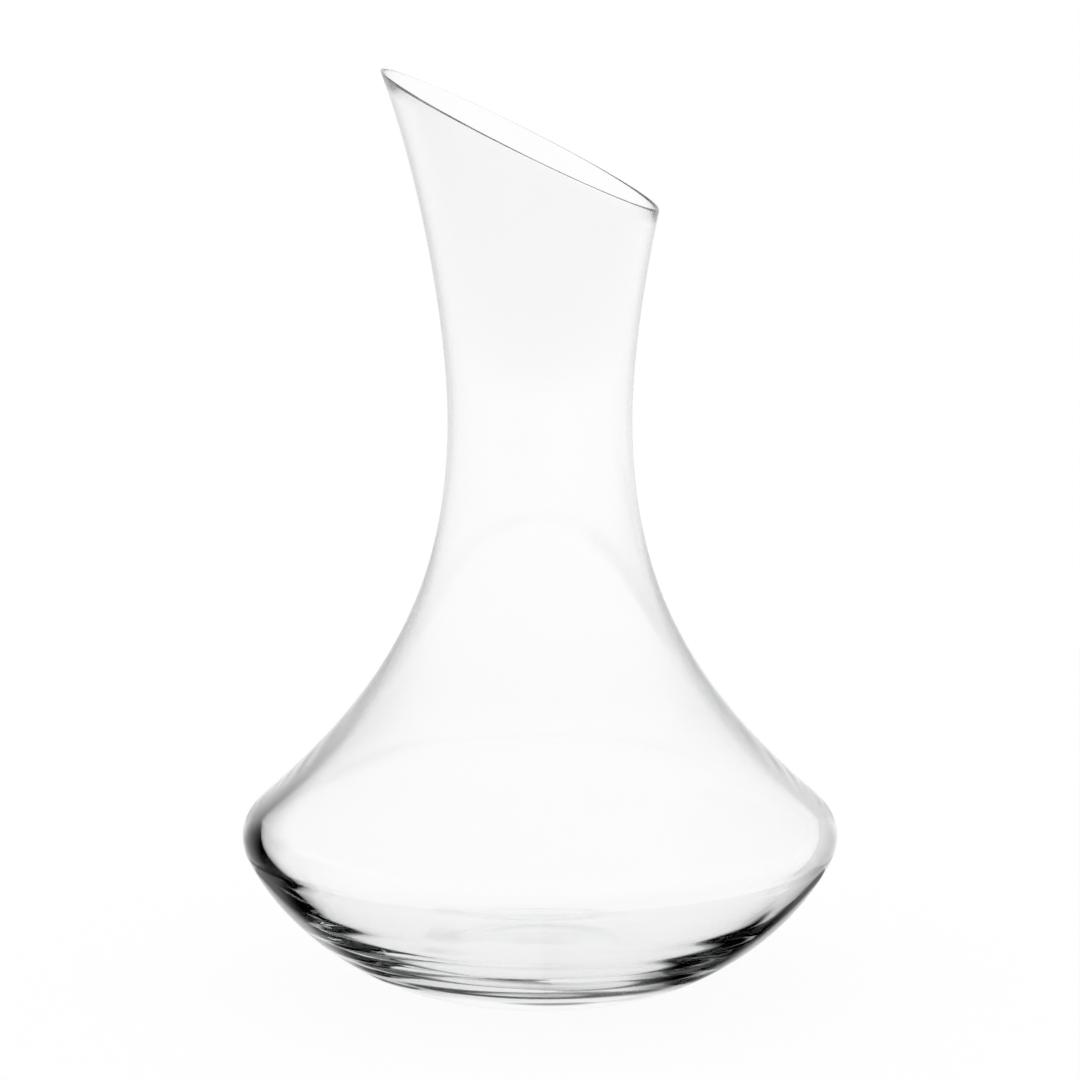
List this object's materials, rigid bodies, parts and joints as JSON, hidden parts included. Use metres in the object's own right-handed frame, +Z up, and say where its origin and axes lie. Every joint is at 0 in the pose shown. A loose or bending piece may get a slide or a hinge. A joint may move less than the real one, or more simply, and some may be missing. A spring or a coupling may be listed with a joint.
{
  "type": "wine decanter",
  "caption": "Clear blown-glass wine decanter with a heavy base, a wide low bowl, a slim waist and a flared mouth cut on a slant for pouring.",
  "frame": {"origin": "centre of the footprint on the resting surface, on the vessel's axis", "axes": "+Z up along the vessel's axis, +X towards the low side of the slanted mouth, +Y away from the viewer"},
  "size_m": [0.19, 0.19, 0.2919],
  "materials": {
    "clear_glass": "clear and smooth, fire-polished at the rim"
  },
  "bodies": {
    "root": {"glass_vessel": "clear_glass"}
  },
  "joints": []
}
